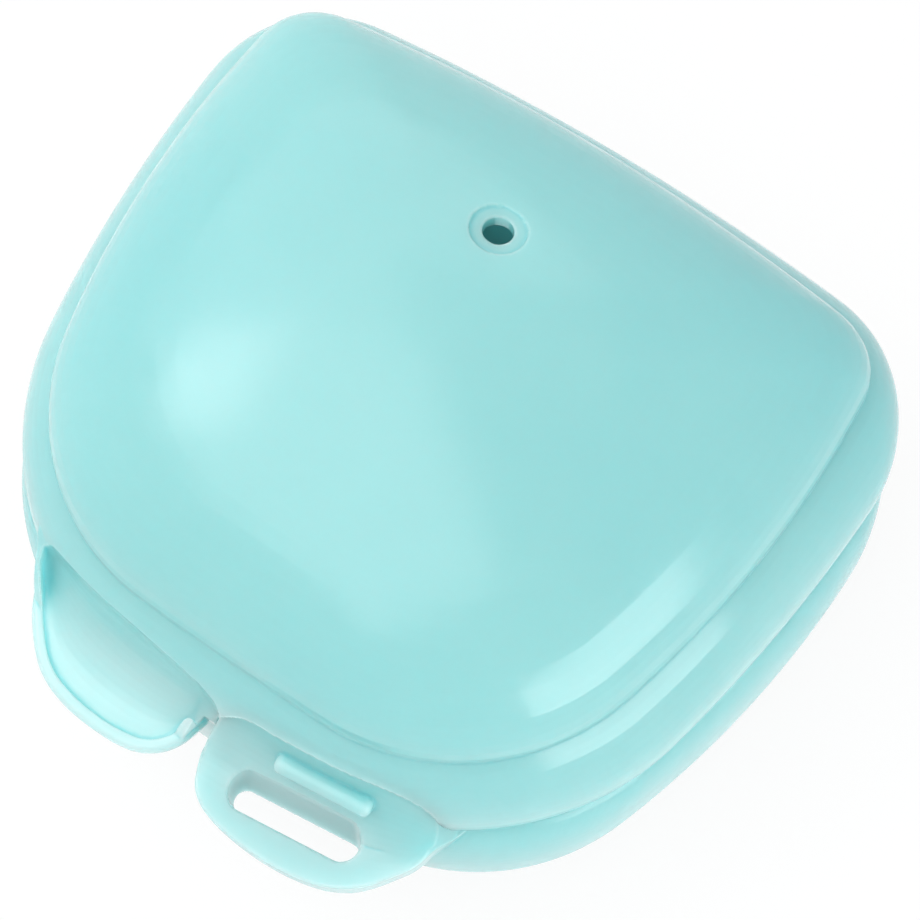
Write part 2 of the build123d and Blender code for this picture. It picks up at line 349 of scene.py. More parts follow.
gripForm = {
    "tabPlan": ((-27.2, -33.6), (-26.4, -36.2), (-25.3, -39.2), (-23.2, -42.4), (-19.4, -45.9),
                (-15.2, -47.5), (-10.4, -47.9), (-6.2, -47.5), (-3.6, -46.2), (-2.0, -44.3), (-1.2, -42.0),
                (-0.8, -39.0), (-0.8, -30.0), (-26.0, -28.0)),
    "tabBottom": 20.3, "tabTop": 22.5,
    "loopPlan": ((0.6, -30.0), (0.3, -38.0), (0.1, -41.3), (0.8, -44.2), (2.4, -47.0), (5.6, -48.5),
                 (11.5, -48.9), (17.4, -48.1), (21.6, -46.2), (24.6, -42.8), (26.6, -38.6), (26.6, -30.0)),
    "loopBottom": 16.5, "loopTop": 22.5,
    "edge": 0.8, "rootInset": 0.3, "rootReach": 3.2, "rootShare": 0.5,
    # x, then the ridge and the front of the hollow that the finger rests in
    "tabScoop": ((-25.2, -35.6, 27.6, -36.9, 25.2), (-24.1, -35.3, 29.6, -38.7, 23.2),
                 (-22.3, -35.6, 31.1, -41.4, 22.2), (-18.8, -36.4, 32.0, -44.7, 21.8),
                 (-15.0, -37.0, 32.5, -46.1, 21.7), (-10.4, -37.5, 32.5, -46.5, 21.7),
                 (-6.6, -37.9, 32.0, -46.1, 21.7), (-4.6, -38.1, 31.6, -45.3, 21.8),
                 (-3.2, -38.3, 31.3, -43.8, 22.0), (-2.2, -38.4, 31.1, -41.6, 23.0),
                 (-0.9, -38.7, 30.4, -41.4, 23.4), (0.1, -39.0, 29.2, -41.4, 23.4),
                 (0.8, -39.5, 27.6, -41.4, 23.4)),
    "loopScoop": ((-1.2, -39.8, 26.8, -46.0, 22.0), (0.6, -39.0, 29.4, -46.0, 22.0),
                  (3.0, -38.2, 30.8, -46.0, 22.0), (7.0, -37.6, 31.8, -46.0, 22.0),
                  (12.8, -36.9, 32.6, -46.0, 22.0), (18.5, -36.0, 32.3, -45.6, 22.0),
                  (22.0, -35.3, 31.3, -44.4, 22.0), (24.6, -35.0, 29.3, -42.6, 22.0),
                  (26.0, -35.2, 26.5, -41.0, 22.0), (27.6, -35.4, 24.0, -39.5, 22.0)),
    "spareRadius": 11.0, "sparePlace": (13.5, -46.0, 30.7), "spareLength": 32.0, "spareTurn": 7.5,
    "archPlan": ((0.3, 0.0), (0.5, 5.0), (1.0, 6.9), (3.1, 9.6), (5.2, 10.5), (8.0, 10.8), (12.8, 11.4),
                 (18.5, 11.2), (22.0, 10.2), (24.6, 8.0), (26.0, 4.4), (27.2, 1.4), (27.8, 0.0)),
    "archGap": 0.12,
    "slotPlace": (12.6, -43.3), "slotTop": (15.4, 4.2), "slotThroat": (15.0, 2.7), "slotShift": (0.4, -0.7),
    "slotTurn": 7.5, "slotFlare": (24.4, 0.6),
    "ribStart": (8.2, -39.9, 25.7), "ribEnd": (19.4, -38.5, 26.1), "ribRadius": 1.15, "ribEndRounding": 0.8,
}


def slab(name, plan, bottom, top, edge, inset=0.0):
    outline = smoothLine(plan, 12)
    centre = np.mean(outline, axis=0)

    def loopAt(height, roundness):
        points = []
        count = len(outline)
        for i in range(count):
            tangent = outline[(i + 1) % count] - outline[i - 1]
            normal = np.array([tangent[1], -tangent[0]]) / max(np.hypot(*tangent), 1e-9)
            if np.dot(normal, outline[i] - centre) < 0:
                normal = -normal
            x, y = outline[i] - normal * (inset + roundness)
            points.append((x, y, height))
        return points

    if not edge:
        return extrudeLoops(name, [loopAt(bottom, 0), loopAt(top, 0)])
    loops = []
    for start, middle in ((-90, bottom + edge), (0, top - edge)):
        for angle in range(start, start + 91, 15):
            a = math.radians(angle)
            loops.append(loopAt(middle + edge * math.sin(a), edge - edge * math.cos(a)))
    return extrudeLoops(name, loops)


# the finger hollow, drawn across and extruded from station to station along x
def scoop(stations, reach):
    over = 45.0
    line = smoothLine(stations, 6, closed=False) + [np.array(stations[-1])]
    loops = []
    for x, ridgeY, ridgeZ, frontY, floorZ in line:
        loop = []
        for angle in range(0, 91, 6):
            a = math.radians(angle)
            y = ridgeY + (frontY - ridgeY) * (1 - math.cos(a))
            loop.append((x, y, floorZ + (ridgeZ - floorZ) * (1 - math.sin(a))))
        loop += [(x, frontY - reach - 0.01, floorZ), (x, frontY - reach - 0.01, over), (x, ridgeY, over)]
        loops.append(loop)
    return extrudeLoops("scoop", loops)


# what the hollow inside keeps clear of, so that the wall behind a finger hollow stays thick
def spareAt(side):
    x, y, z = gripForm["sparePlace"]
    turn = (0, math.pi / 2, math.radians(side * gripForm["spareTurn"]))
    return cylinderAt("spare", gripForm["spareRadius"], gripForm["spareLength"], (side * x, y, z), turn, 160)


def archBlock(gap):
    rim = shellForm["rimHeight"]
    arch = [np.array(point) for point in gripForm["archPlan"]]
    line = smoothLine(arch, 8, closed=False) + [arch[-1]]
    left, right = arch[0][0], arch[-1][0]
    line = [(min(max(x, left), right) + gap * (1 - 2 * (x - left) / (right - left)), z - gap * min(z / 4, 1))
            for x, z in line]
    line = [(left + gap, -12.0)] + line + [(right - gap, -12.0)]
    front = [(x, -60.0, rim + z) for x, z in line]
    back = [(x, -27.0, rim + z) for x, z in line]
    return extrudeLoops("arch", [front, back])


def lidHollow():
    hollow = extrudeLoops("hollow", lidHollowLoops(shellForm["wall"]))
    boolean(hollow, spareAt(1), "DIFFERENCE")
    boolean(hollow, spareAt(-1), "DIFFERENCE")
    return hollow


# the web that carries a grip: it leans back into the band and stays within the grip's plan
def gripRoot(plan, low):
    reach, end = gripForm["rootReach"], gripForm["rootShare"]
    belly = shellForm["bandBelly"]
    phase = 0.37
    loops = [caseLoop(plans["rim"], low, belly + reach, 1.0, phase)]
    for step in range(9):
        share = end * step / 8
        loops += bandLoops([share], 0.07 - reach * (1 - step / 8) ** 1.4, phase)
    loops += bandLoops([end], 0.6, phase)
    root = extrudeLoops("root", loops)
    prism = slab("prism", plan, low - 5, 45, 0, gripForm["rootInset"])
    boolean(root, prism, "INTERSECT")
    return root


ventForm = {"y": 12.6, "hole": 3.2, "spot": 5.9, "depth": 0.34, "lean": math.radians(-9.7), "cutter": 6.0}
hingeForm = {"place": (40.0, 15.4), "radius": 2.3, "width": 8.4, "pitch": 8.7, "pin": 1.1, "running": 0.06,
             "pocketGap": 0.6, "sideGap": 0.3, "armThickness": 2.0, "armTop": 22.0, "bossWall": 2.0}
hingeLength = 5 * hingeForm["pitch"] - hingeForm["sideGap"]


def hingeCylinders(name, radius, length, places):
    y, z = hingeForm["place"]
    first, *others = [cylinderAt(name, radius, length, (x, y, z), (0, math.pi / 2, 0)) for x in places]
    return joinPieces(first, others) if others else first


# remeshed finely so that every edge rounds off as a moulded one does, then thinned where it is smooth
def soften(piece):
    depth = shellForm["depth"] - 0
    applyModifier(piece, "REMESH", mode="SHARP", octree_depth=depth, scale=0.98, threshold=0.05,
                  use_smooth_shade=True)
    applyModifier(piece, "SMOOTH", factor=0.5, iterations=shellForm["softening"])
    fine = piece.copy()
    fine.data = piece.data.copy()
    bpy.context.scene.collection.objects.link(fine)
    applyModifier(piece, "DECIMATE", ratio=shellForm["triangles"] / (2 * len(piece.data.polygons)))
    applyModifier(piece, "DATA_TRANSFER", object=fine, use_loop_data=True, data_types_loops={"CUSTOM_NORMAL"},
                  loop_mapping="POLYINTERP_NEAREST")
    bpy.data.objects.remove(fine)
    print(piece.name, "faces", len(piece.data.polygons))


# how sharply the surface turns, per mm: above nought on an edge, below nought in a crease
def markTurns(piece):
    mesh = piece.data
    places = np.empty(3 * len(mesh.vertices))
    normals = np.empty(3 * len(mesh.vertices))
    pairs = np.empty(2 * len(mesh.edges), dtype=int)
    mesh.vertices.foreach_get("co", places)
    mesh.vertices.foreach_get("normal", normals)
    mesh.edges.foreach_get("vertices", pairs)
    places, normals = places.reshape(-1, 3) / mm, normals.reshape(-1, 3)
    first, second = pairs.reshape(-1, 2).T
    span = places[second] - places[first]
    square = np.maximum((span ** 2).sum(1), 1e-4)
    count = np.bincount(np.concatenate([first, second]), minlength=len(places))
    turn = np.bincount(first, -2 * (span * normals[first]).sum(1) / square, len(places))
    turn += np.bincount(second, 2 * (span * normals[second]).sum(1) / square, len(places))
    turn /= np.maximum(count, 1)
    for step in range(3):
        near = np.bincount(first, turn[second], len(places)) + np.bincount(second, turn[first], len(places))
        turn = 0.4 * turn + 0.6 * near / np.maximum(count, 1)
    mesh.attributes.new("turn", "FLOAT", "POINT").data.foreach_set("value", turn.astype(np.float32))


print("shaping the lid")
lidKnuckles = [-hingeForm["pitch"], hingeForm["pitch"]]
baseKnuckles = [-2 * hingeForm["pitch"], 0, 2 * hingeForm["pitch"]]
hingeY, hingeZ = hingeForm["place"]
lid = extrudeLoops("lid", lidLoops())
tabLow, tabEdge = gripForm["tabBottom"], gripForm["edge"]
boolean(lid, slab("tab", gripForm["tabPlan"], tabLow, gripForm["tabTop"], tabEdge), "UNION")
boolean(lid, gripRoot(gripForm["tabPlan"], tabLow + tabEdge), "UNION")
boolean(lid, scoop(gripForm["tabScoop"], 0), "DIFFERENCE")
boolean(lid, lidHollow(), "DIFFERENCE")
boolean(lid, archBlock(0), "DIFFERENCE")
power = shellForm["domeSquareness"]
ventY, lean, cutter = ventForm["y"], ventForm["lean"], ventForm["cutter"]
ventLevel = (1 - (ventY / rearReach) ** power) ** (1 / power)
ventFloor = creaseZ + shellForm["domeRise"] * ventLevel - ventForm["depth"]
spotPlace = (0, ventY - math.sin(lean) * cutter / 2, ventFloor + math.cos(lean) * cutter / 2)
boolean(lid, cylinderAt("spot", ventForm["spot"] / 2, cutter, spotPlace, (lean, 0, 0)), "DIFFERENCE")
vent = cylinderAt("vent", ventForm["hole"] / 2, 3 * cutter, (0, ventY, ventFloor), (0, 0, 0))
boolean(lid, vent, "DIFFERENCE")
for x in lidKnuckles:
    half = hingeForm["width"] / 2
    armY = hingeY - hingeForm["radius"]
    armEnd = (x + half, armY + hingeForm["armThickness"], hingeForm["armTop"])
    boolean(lid, boxAt("arm", (x - half, armY, hingeZ), armEnd), "UNION")
    boolean(lid, hingeCylinders("knuckle", hingeForm["radius"], hingeForm["width"], [x]), "UNION")
boolean(lid, hingeCylinders("bore", hingeForm["pin"] + hingeForm["running"], hingeLength, [0]), "DIFFERENCE")
soften(lid)
markTurns(lid)
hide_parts("lid_shell")
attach(lid, "lid")


# a bar with rounded ends, drawn as rings along its line
def barLoops(start, end, radius, rounding, sides=40):
    start, end = np.array(start), np.array(end)
    length = np.linalg.norm(end - start)
    along = (end - start) / length
    across = np.cross(along, (0, 0, 1))
    across /= np.linalg.norm(across)
    rise = np.cross(across, along)
    # the end of the bar keeps a quarter of its radius
    rings = [(rounding * (1 - math.cos(math.radians(a))), 1 - 0.75 * (1 - math.sin(math.radians(a))))
             for a in range(0, 91, 15)]
    rings += [(length - place, share) for place, share in reversed(rings)]
    loops = []
    for place, share in rings:
        centre = start + along * place
        loops.append([tuple(centre + radius * share * (across * math.cos(t) + rise * math.sin(t)))
                      for t in np.linspace(0, 2 * math.pi, sides, endpoint=False)])
    return loops


print("shaping the base")
rim = shellForm["rimHeight"]
lipInner = shellForm["wall"] + shellForm["lipGap"] + shellForm["lipWall"]
footLow, footHigh = rim - shellForm["lipFoot"], rim + shellForm["lipHeight"]
base = extrudeLoops("base", baseLoops())
rimShoulder = [caseLoop(plans["rim"], rim + rise, outset, 1.0, 0.5)
               for rise, outset in ((-1, -0.05), (0, 0.1), (0.8, 0.6), (1.6, 0.9))]
tongue = extrudeLoops("tongue", rimShoulder + bandLoops([i / 10 for i in range(11)], 0, 0.5))
loopLow, loopHigh, loopEdge = gripForm["loopBottom"], gripForm["loopTop"], gripForm["edge"]
lowerLoop = slab("lowerLoop", gripForm["loopPlan"], loopLow, loopHigh, loopEdge)
# a little smaller than the lower loop, so that their surfaces don't coincide
aside = 0.03
loopPlate = slab("loop", gripForm["loopPlan"], loopLow + aside, loopHigh, loopEdge, aside)
loopRoot = gripRoot(gripForm["loopPlan"], loopLow + loopEdge)
boolean(lowerLoop, boxAt("above", (-60, -80, rim), (60, 20, rim + 20)), "DIFFERENCE")
boolean(tongue, loopPlate, "UNION")
boolean(tongue, loopRoot, "UNION")
boolean(tongue, scoop(gripForm["loopScoop"], 8), "DIFFERENCE")
boolean(tongue, extrudeLoops("rib", barLoops(gripForm["ribStart"], gripForm["ribEnd"], gripForm["ribRadius"],
                                           gripForm["ribEndRounding"])), "UNION")
boolean(tongue, archBlock(gripForm["archGap"]), "INTERSECT")
boolean(tongue, lidHollow(), "DIFFERENCE")
tongueFoot = extrudeLoops("tongueFoot", [caseLoop(plans["rim"], height, -0.04, 1.0, 0.21)
                                         for height in (footLow, footHigh)])
boolean(tongueFoot, extrudeLoops("inside", [caseLoop(plans["rim"], height, 0.04 - lipInner, 1.0, 0.71)
                                              for height in (footLow - 1, footHigh + 1)]), "DIFFERENCE")
boolean(tongueFoot, archBlock(gripForm["archGap"]), "INTERSECT")
boolean(base, tongueFoot, "UNION")
boolean(base, lowerLoop, "UNION")
boolean(base, tongue, "UNION")
slotX, slotY = gripForm["slotPlace"]


def slotLoop(size, place, height, turn):
    length, width = size
    radius = width / 2
    ends = [(length / 2 - radius, -90), (-(length / 2 - radius), 90)]
    points = []
    for x, start in ends:
        for step in range(25):
            angle = math.radians(start + step * 180 / 24)
            px, py = x + radius * math.cos(angle), radius * math.sin(angle)
            c, s = math.cos(math.radians(turn)), math.sin(math.radians(turn))
            points.append((place[0] + px * c - py * s, place[1] + px * s + py * c, height))
    return points


throat = (slotX + gripForm["slotShift"][0], slotY + gripForm["slotShift"][1])
flareHeight, flare = gripForm["slotFlare"]
length, width = gripForm["slotTop"]
slotCut = extrudeLoops("slot", [
    slotLoop(gripForm["slotThroat"], throat, gripForm["loopBottom"] - 1, gripForm["slotTurn"]),
    slotLoop(gripForm["slotThroat"], throat, gripForm["loopBottom"], gripForm["slotTurn"]),
    slotLoop(gripForm["slotTop"], gripForm["slotPlace"], gripForm["loopTop"], gripForm["slotTurn"]),
    slotLoop((length + flare, width + flare), gripForm["slotPlace"], flareHeight, gripForm["slotTurn"]),
    slotLoop((length + flare, width + flare), gripForm["slotPlace"], flareHeight + 3, gripForm["slotTurn"])])
boolean(base, slotCut, "DIFFERENCE")
pocketRadius = hingeForm["radius"] + hingeForm["pocketGap"]
bossRadius = pocketRadius + hingeForm["bossWall"]
bossHalf = hingeLength / 2 + hingeForm["bossWall"]
boss = hingeCylinders("boss", bossRadius, 2 * bossHalf, [0])
boolean(boss, boxAt("bossTop", (-bossHalf, hingeY - bossRadius, hingeZ), (bossHalf, rearY, rim)), "UNION")
boolean(boss, boxAt("behind", (-60, rearY, 0), (60, 60, 40)), "DIFFERENCE")
boolean(boss, boxAt("over", (-60, 20, rim), (60, 60, 40)), "DIFFERENCE")
boolean(base, boss, "UNION")
for x in baseKnuckles:
    boolean(base, hingeCylinders("knuckle", hingeForm["radius"], hingeForm["width"], [x]), "UNION")
for x in lidKnuckles:
    half = hingeForm["width"] / 2 + hingeForm["sideGap"]
    boolean(base, hingeCylinders("pocket", pocketRadius, 2 * half, [x]), "DIFFERENCE")
    low = (x - half, hingeY - pocketRadius, hingeZ)
    boolean(base, boxAt("pocketTop", low, (x + half, 60, 60)), "DIFFERENCE")
boolean(base, hingeCylinders("bore", hingeForm["pin"], hingeLength, [0]), "DIFFERENCE")
ribForm = {"height": 6.5, "width": 1.6, "pitch": 13.0, "count": 4, "length": 40.0}
for i in range(ribForm["count"]):
    x = (i - (ribForm["count"] - 1) / 2) * ribForm["pitch"]
    half = ribForm["width"] / 2
    low = (x - half, -ribForm["length"] / 2, shellForm["floor"] - 0.5)
    high = (x + half, ribForm["length"] / 2, shellForm["floor"] + ribForm["height"])
    boolean(base, boxAt("drainRib", low, high), "UNION")
soften(base)
markTurns(base)
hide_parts("base_shell")
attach(base, "base")

print("shaping the pin")
pin = hingeCylinders("pin", hingeForm["pin"], hingeLength, [0])
activate(pin)
applyModifier(pin, "BEVEL", width=0.3 * mm, segments=3, limit_method="ANGLE")
markTurns(pin)
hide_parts("hinge_pin")
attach(pin, "base")

print("camera and light")
cameraForm = {"target": (0, 0, 20), "back": (0.1867, -0.2744, 0.9433), "distance": 200, "lens": 68.56,
              "shift": (0.0363, -0.0248)}
cameraData = bpy.data.cameras.new("camera")
camera = bpy.data.objects.new("camera", cameraData)
bpy.context.scene.collection.objects.link(camera)
back = Vector(cameraForm["back"]).normalized()
camera.location = (Vector(cameraForm["target"]) + back * cameraForm["distance"]) * mm
camera.rotation_mode = "QUATERNION"
camera.rotation_quaternion = (-back).to_track_quat("-Z", "Y")
cameraData.lens = cameraForm["lens"]
cameraData.sensor_width = 36
cameraData.shift_x, cameraData.shift_y = cameraForm["shift"]
cameraData.clip_start, cameraData.clip_end = 0.01, 20
bpy.context.scene.camera = camera

studio = {
    # the fill is strongest from the front left and falls off towards the rear right
    "worldLight": (0.20, 0.56), "fillFrom": (-0.5, -0.42, 0.75), "shown": 1.0,
    # what the thin walls let through, in watts
    "inside": {"place": (0, 0, 24), "radius": 12, "power": 0.006},
    "panels": {
        # azimuth, elevation and distance from the case, width, height, radiance, softness of the border
        "topPanel": (-35, 70, 0.9, 1.5, 1.2, 1.8, 0.6),
        "leftPanel": (-80, 50, 0.9, 0.80, 0.62, 2.6, 0.9),
        "rearPanel": (-125, 44, 0.9, 1.30, 0.55, 0.8, 0.08),
        "rightStrip": (76, 15, 0.27, 0.20, 0.14, 3.4, 0.12),
    },
}


# one for the camera, mirrors and glass, nought for the light that falls on the case
def shownFactor(tree, strength):
    path = tree.nodes.new("ShaderNodeLightPath")
    last = path.outputs["Is Camera Ray"]
    for ray in ("Is Glossy Ray", "Is Transmission Ray"):
        either = tree.nodes.new("ShaderNodeMath")
        either.operation = "MAXIMUM"
        tree.links.new(last, either.inputs[0])
        tree.links.new(path.outputs[ray], either.inputs[1])
        last = either.outputs[0]
    amount = tree.nodes.new("ShaderNodeMath")
    amount.operation = "MULTIPLY"
    amount.inputs[1].default_value = strength
    tree.links.new(last, amount.inputs[0])
    return amount.outputs[0]


def worldLight():
    world = bpy.data.worlds.new("studio")
    bpy.context.scene.world = world
    world.use_nodes = True
    nodes, links = world.node_tree.nodes, world.node_tree.links
    fill = nodes["Background"]
    fill.inputs["Color"].default_value = (1, 1, 1, 1)
    place = nodes.new("ShaderNodeTexCoord")
    toward = nodes.new("ShaderNodeVectorMath")
    toward.operation = "DOT_PRODUCT"
    toward.inputs[1].default_value = Vector(studio["fillFrom"]).normalized()
    links.new(place.outputs["Generated"], toward.inputs[0])
    level = nodes.new("ShaderNodeMapRange")
    level.inputs["From Min"].default_value = -1
    level.inputs["To Min"].default_value, level.inputs["To Max"].default_value = studio["worldLight"]
    links.new(toward.outputs["Value"], level.inputs["Value"])
    links.new(level.outputs[0], fill.inputs["Strength"])
    shown = nodes.new("ShaderNodeBackground")
    shown.inputs["Color"].default_value = (1, 1, 1, 1)
    shown.inputs["Strength"].default_value = studio["shown"]
    mix = nodes.new("ShaderNodeMixShader")
    links.new(shownFactor(world.node_tree, 1), mix.inputs["Fac"])
    links.new(fill.outputs[0], mix.inputs[1])
    links.new(shown.outputs[0], mix.inputs[2])
    links.new(mix.outputs[0], nodes["World Output"].inputs["Surface"])


# a diffusion panel: it glows on its lower face, less towards its border
def panel(name, azimuth, elevation, distance, width, height, radiance, softness):
    a, e = math.radians(azimuth), math.radians(elevation)
    outward = Vector((math.sin(a) * math.cos(e), -math.cos(a) * math.cos(e), math.sin(e)))
    deselectAll()
    bpy.ops.mesh.primitive_plane_add(size=1, location=outward * distance,
                                     rotation=outward.to_track_quat("-Z", "Y").to_euler())
    sheet = bpy.context.active_object
    sheet.name = name
    sheet.scale = (width, height, 1)
    sheet.visible_camera = False
    sheet.visible_shadow = False
    material = bpy.data.materials.new(name)
    material.use_nodes = True
    nodes, links = material.node_tree.nodes, material.node_tree.links
    nodes.remove(nodes["Principled BSDF"])
    place = nodes.new("ShaderNodeTexCoord")
    split = nodes.new("ShaderNodeSeparateXYZ")
    links.new(place.outputs["Object"], split.inputs[0])
    edges = []
    for axis in ("X", "Y"):
        size = nodes.new("ShaderNodeMath")
        size.operation = "ABSOLUTE"
        links.new(split.outputs[axis], size.inputs[0])
        fade = nodes.new("ShaderNodeMapRange")
        fade.interpolation_type = "SMOOTHERSTEP"
        fade.inputs["From Min"].default_value = 0.5
        fade.inputs["From Max"].default_value = 0.5 * (1 - softness)
        links.new(size.outputs[0], fade.inputs["Value"])
        edges.append(fade.outputs[0])
    level = nodes.new("ShaderNodeMath")
    level.operation = "MULTIPLY"
    links.new(edges[0], level.inputs[0])
    links.new(edges[1], level.inputs[1])
    strength = nodes.new("ShaderNodeMath")
    strength.operation = "MULTIPLY"
    strength.inputs[1].default_value = radiance
    links.new(level.outputs[0], strength.inputs[0])
    glow = nodes.new("ShaderNodeEmission")
    glow.inputs["Color"].default_value = (1, 1, 1, 1)
    links.new(strength.outputs[0], glow.inputs["Strength"])
    clear = nodes.new("ShaderNodeBsdfTransparent")
    mix = nodes.new("ShaderNodeMixShader")
    facing = nodes.new("ShaderNodeNewGeometry")
    add = nodes.new("ShaderNodeAddShader")
    links.new(clear.outputs[0], add.inputs[0])
    links.new(glow.outputs[0], add.inputs[1])
    links.new(facing.outputs["Backfacing"], mix.inputs["Fac"])
    links.new(add.outputs[0], mix.inputs[1])
    links.new(clear.outputs[0], mix.inputs[2])
    links.new(mix.outputs[0], nodes["Material Output"].inputs["Surface"])
    sheet.data.materials.append(material)


worldLight()
for name, values in studio["panels"].items():
    panel(name, *values)
insideForm = studio["inside"]
insideLight = bpy.data.lights.new("insideLight", "POINT")
insideLight.energy = insideForm["power"]
insideLight.shadow_soft_size = insideForm["radius"] * mm
insideLamp = bpy.data.objects.new("insideLight", insideLight)
insideLamp.location = Vector(insideForm["place"]) * mm
bpy.context.scene.collection.objects.link(insideLamp)

deselectAll()
bpy.ops.mesh.primitive_plane_add(size=6, location=(0, 0, -0.0001))
floor = bpy.context.active_object
floor.name = "floor"
bakePlace(floor)
floorForm = {"shade": 0.9, "shown": 0.88}
floorMaterial = bpy.data.materials.new("floor")
floorMaterial.use_nodes = True
nodes, links = floorMaterial.node_tree.nodes, floorMaterial.node_tree.links
nodes.remove(nodes["Principled BSDF"])
diffuse = nodes.new("ShaderNodeBsdfDiffuse")
diffuse.inputs["Color"].default_value = (floorForm["shade"],) * 3 + (1,)
glow = nodes.new("ShaderNodeEmission")
glow.inputs["Color"].default_value = (1, 1, 1, 1)
glow.inputs["Strength"].default_value = 1
mix = nodes.new("ShaderNodeMixShader")
links.new(shownFactor(floorMaterial.node_tree, floorForm["shown"]), mix.inputs["Fac"])
links.new(diffuse.outputs[0], mix.inputs[1])
links.new(glow.outputs[0], mix.inputs[2])
links.new(mix.outputs[0], nodes["Material Output"].inputs["Surface"])
floor.data.materials.append(floorMaterial)

bpy.context.scene.view_settings.view_transform = "Standard"

print("materials")


# a node with its settings; each input is a value, or the output of another node
def addNode(tree, kind, inputs, **settings):
    node = tree.nodes.new(kind)
    for name, value in settings.items():
        setattr(node, name, value)
    for name, value in inputs.items():
        if isinstance(value, bpy.types.NodeSocket):
            tree.links.new(value, node.inputs[name])
        else:
            node.inputs[name].default_value = value
    return node


def mouldedGroup():
    tree = bpy.data.node_groups.new("mouldedPlastic", "ShaderNodeTree")
    colours = ("Tint", "Deep Tint And Shade", "Grip Light Tint")
    floats = ("Cloud Size", "Cloud Amount", "Grip Light Amount", "Rear Shade", "Crease Shade", "Edge Highlight",
              "Gloss", "Smudge Size", "Smudge Amount", "Scuff Size", "Scuff Amount", "Foot Wear",
              "Foot Height",
              "Peel Size", "Grain Size", "Grain Share")
    sockets = [(name, "NodeSocketColor") for name in colours] + [(name, "NodeSocketFloat") for name in floats]
    for name, kind in sockets:
        tree.interface.new_socket(name, in_out="INPUT", socket_type=kind)
    results = (("Colour", "NodeSocketColor"), ("Roughness", "NodeSocketFloat"), ("Height", "NodeSocketFloat"))
    for name, kind in results:
        tree.interface.new_socket(name, in_out="OUTPUT", socket_type=kind)
    given = tree.nodes.new("NodeGroupInput").outputs
    result = tree.nodes.new("NodeGroupOutput").inputs
    place = tree.nodes.new("ShaderNodeTexCoord").outputs["Object"]

    def maths(operation, first, second, clamp=False):
        return addNode(tree, "ShaderNodeMath", {0: first, 1: second},
                       operation=operation, use_clamp=clamp).outputs[0]

    def spread(value, low, high, bottom=0.0, top=1.0):
        ends = {"Value": value, "From Min": low, "From Max": high, "To Min": bottom, "To Max": top}
        return addNode(tree, "ShaderNodeMapRange", ends, interpolation_type="SMOOTHSTEP").outputs[0]

    def noise(size, detail=2.0, vector=place, roughness=0.5):
        scale = maths("DIVIDE", 1.0, size)
        return addNode(tree, "ShaderNodeTexNoise", {"Vector": vector, "Scale": scale, "Detail": detail,
                                                    "Roughness": roughness}).outputs["Fac"]

    def blend(share, first, second):
        node = addNode(tree, "ShaderNodeMix", {"Factor": share}, data_type="RGBA")
        colours = [socket for socket in node.inputs if socket.type == "RGBA"]
        for socket, value in zip(colours, (first, second)):
            if isinstance(value, bpy.types.NodeSocket):
                tree.links.new(value, socket)
            else:
                socket.default_value = value
        return [socket for socket in node.outputs if socket.type == "RGBA"][0]

    # slow clouds of pigment. The deep tint is also the colour of the painted shade towards the rear and in
    # creases, and edges get a painted highlight
    cloud = spread(noise(given["Cloud Size"], 3.0), 0.35, 0.65)
    colour = blend(maths("MULTIPLY", cloud, given["Cloud Amount"]), given["Tint"], given["Deep Tint And Shade"])
    # painted shade deepens the colour towards the hinge and the rear right, where less light falls, and
    # painted light makes the thin grips at the front paler
    split = addNode(tree, "ShaderNodeSeparateXYZ", {0: place}).outputs
    rearward = addNode(tree, "ShaderNodeVectorMath", {0: place, 1: (0.35, 0.94, 0.0)},
                   operation="DOT_PRODUCT").outputs["Value"]
    # painted shade: darker towards the rear right, away from the light
    rearShade = maths("MULTIPLY", spread(rearward, 0.008, 0.046), given["Rear Shade"])
    colour = blend(rearShade, colour, given["Deep Tint And Shade"])
    # painted light: the grips are paler, standing for their sheen and the light that passes through the thin
    # plate
    thin = maths("MULTIPLY", spread(split["Y"], -0.037, -0.042), given["Grip Light Amount"])
    colour = blend(thin, colour, given["Grip Light Tint"])
    turn = addNode(tree, "ShaderNodeAttribute", {}, attribute_name="turn").outputs["Fac"]
    # painted shade: creases and hollows take the deep tint
    crease = maths("MULTIPLY", spread(turn, -0.08, -0.8), given["Crease Shade"], True)
    colour = blend(crease, colour, given["Deep Tint And Shade"])
    # painted highlight: sharp outer edges are lightened towards white
    edge = maths("MULTIPLY", spread(turn, 0.15, 1.1), given["Edge Highlight"], True)
    colour = blend(edge, colour, (1.0, 1.0, 1.0, 1.0))

    # hairlines run in two directions, most of them near the foot
    streaks = []
    for turned, stretch in ((0.5, (1.0, 0.045, 1.0)), (-0.9, (0.05, 1.0, 1.0))):
        laid = addNode(tree, "ShaderNodeMapping",
                       {"Vector": place, "Rotation": (0.2, 0.1, turned), "Scale": stretch})
        streaks.append(spread(noise(given["Scuff Size"], 1.0, laid.outputs[0], 0.3), 0.66, 0.74))
    patch = spread(noise(maths("MULTIPLY", given["Scuff Size"], 60.0)), 0.45, 0.65)
    foot = maths("MULTIPLY", spread(split["Z"], given["Foot Height"], 0.0), given["Foot Wear"])
    worn = maths("ADD", maths("MULTIPLY", patch, given["Scuff Amount"]), foot)
    hairs = maths("MULTIPLY", maths("MAXIMUM", *streaks), worn, True)
    colour = blend(maths("MULTIPLY", hairs, 0.25), colour, (1.0, 1.0, 1.0, 1.0))
    tree.links.new(colour, result["Colour"])

    smudge = spread(noise(given["Smudge Size"], 4.0, place, 0.62), 0.42, 0.70)
    gloss = maths("ADD", given["Gloss"], maths("MULTIPLY", smudge, given["Smudge Amount"]))
    gloss = maths("ADD", gloss, maths("MULTIPLY", hairs, 0.35))
    gloss = maths("ADD", gloss, maths("MULTIPLY", foot, 0.2), True)
    tree.links.new(gloss, result["Roughness"])

